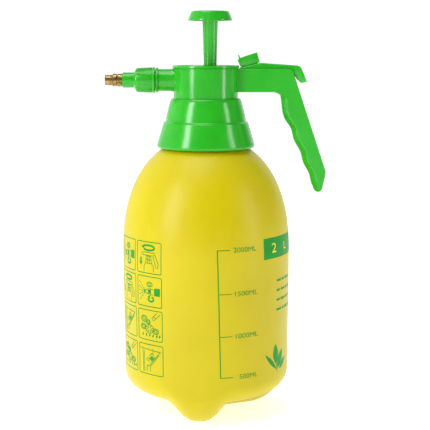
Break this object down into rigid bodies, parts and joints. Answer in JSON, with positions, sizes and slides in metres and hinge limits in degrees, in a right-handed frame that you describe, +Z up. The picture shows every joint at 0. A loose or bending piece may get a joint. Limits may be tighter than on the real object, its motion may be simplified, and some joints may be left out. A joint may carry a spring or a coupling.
{
  "type": "pump sprayer",
  "caption": "Hand pump sprayer: pressure bottle with screw-on pump head, knob plunger, thumb-lever valve in a grip and an adjustable brass nozzle.",
  "frame": {"origin": "on the floor under the bottle's axis, in the plane of the three feet", "axes": "+Z up along the bottle's axis, +X towards the grip, -X along the nozzle's spray, +Y away from the printed side"},
  "size_m": [0.1711, 0.1318, 0.3135],
  "materials": {
    "bottle_hdpe": "blow-moulded, satin",
    "green_pp": "injection-moulded, glossy",
    "brass": "turned and knurled",
    "white_plastic": "moulded",
    "clear_tube": "extruded",
    "rubber": "moulded",
    "steel": "drawn wire"
  },
  "bodies": {
    "bottle": {"bottle": "bottle_hdpe", "neck_gasket": "rubber"},
    "head": {"head_housing": "green_pp", "pump_cap": "green_pp", "pump_barrel": "white_plastic", "barrel_oring": "rubber", "check_valve": "rubber", "dip_tube": "clear_tube", "strainer": "white_plastic", "dip_tube_elbow": "white_plastic", "inlet_hose": "clear_tube", "outlet_hose": "clear_tube", "valve_body": "white_plastic", "valve_plug": "white_plastic", "valve_spring": "steel", "stem_oring": "rubber", "valve_gland": "white_plastic", "trigger_pin": "steel"},
    "collar": {"collar": "green_pp"},
    "piston": {"piston": "white_plastic", "piston_seal": "rubber"},
    "plunger": {"plunger": "green_pp"},
    "trigger": {"trigger_lever": "green_pp", "lock_pin": "steel"},
    "lock": {"trigger_lock": "green_pp"},
    "valve_stem": {"valve_stem": "steel", "valve_washer": "rubber"},
    "nozzle_washer": {"nozzle_washer": "rubber"},
    "nozzle_holder": {"nozzle_holder": "green_pp", "nozzle_stem": "brass"},
    "cap_oring": {"cap_oring": "rubber"},
    "nozzle_cap": {"nozzle_cap": "brass"}
  },
  "joints": [
    {"name": "head_rise", "type": "slide", "parent": "bottle", "child": "head", "axis": [0, 0, 1], "range_m": [0, 0.008]},
    {"name": "collar_turn", "type": "hinge", "parent": "head", "child": "collar", "pos_m": [0, 0, 0.228], "axis": [0, 0, 1], "range_deg": [0, 724]},
    {"name": "pump_slide", "type": "slide", "parent": "head", "child": "piston", "axis": [0, 0, 1], "range_m": [-0.0337, 0.026]},
    {"name": "knob_turn", "type": "hinge", "parent": "piston", "child": "plunger", "pos_m": [0.0034, 0, 0.27], "axis": [0, 0, 1], "continuous": true},
    {"name": "trigger_press", "type": "hinge", "parent": "head", "child": "trigger", "pos_m": [0.029, 0, 0.267], "axis": [0, 1, 0], "range_deg": [0, 5.1], "stiffness_Nm_per_rad": 0.6, "springref_deg": -2.86},
    {"name": "lock_tilt", "type": "hinge", "parent": "trigger", "child": "lock", "pos_m": [0.0335, 0, 0.2682], "axis": [0, 1, 0], "range_deg": [0, 17]},
    {"name": "valve_lift", "type": "slide", "parent": "head", "child": "valve_stem", "axis": [0, 0, -1], "range_m": [0, 0.00096], "deforming": ["valve_spring"]},
    {"name": "holder_travel", "type": "slide", "parent": "head", "child": "nozzle_washer", "axis": [-1, 0, 0], "range_m": [0, 0.006]},
    {"name": "holder_turn", "type": "hinge", "parent": "nozzle_washer", "child": "nozzle_holder", "pos_m": [-0.05, 0, 0.2607], "axis": [-1, 0, 0], "range_deg": [0, 1450]},
    {"name": "cap_travel", "type": "slide", "parent": "nozzle_holder", "child": "cap_oring", "axis": [-1, 0, 0], "range_m": [0, 0.0016]},
    {"name": "cap_turn", "type": "hinge", "parent": "cap_oring", "child": "nozzle_cap", "pos_m": [-0.07, 0, 0.2607], "axis": [-1, 0, 0], "range_deg": [0, 726]}
  ],
  "couplings": [
    {"joint": "collar_turn", "follows": "head_rise", "rad_per_m": 1570.8},
    {"joint": "trigger_press", "follows": "valve_lift", "rad_per_m": 90.909},
    {"joint": "holder_turn", "follows": "holder_travel", "rad_per_m": 4188.8},
    {"joint": "cap_turn", "follows": "cap_travel", "rad_per_m": 7854}
  ]
}
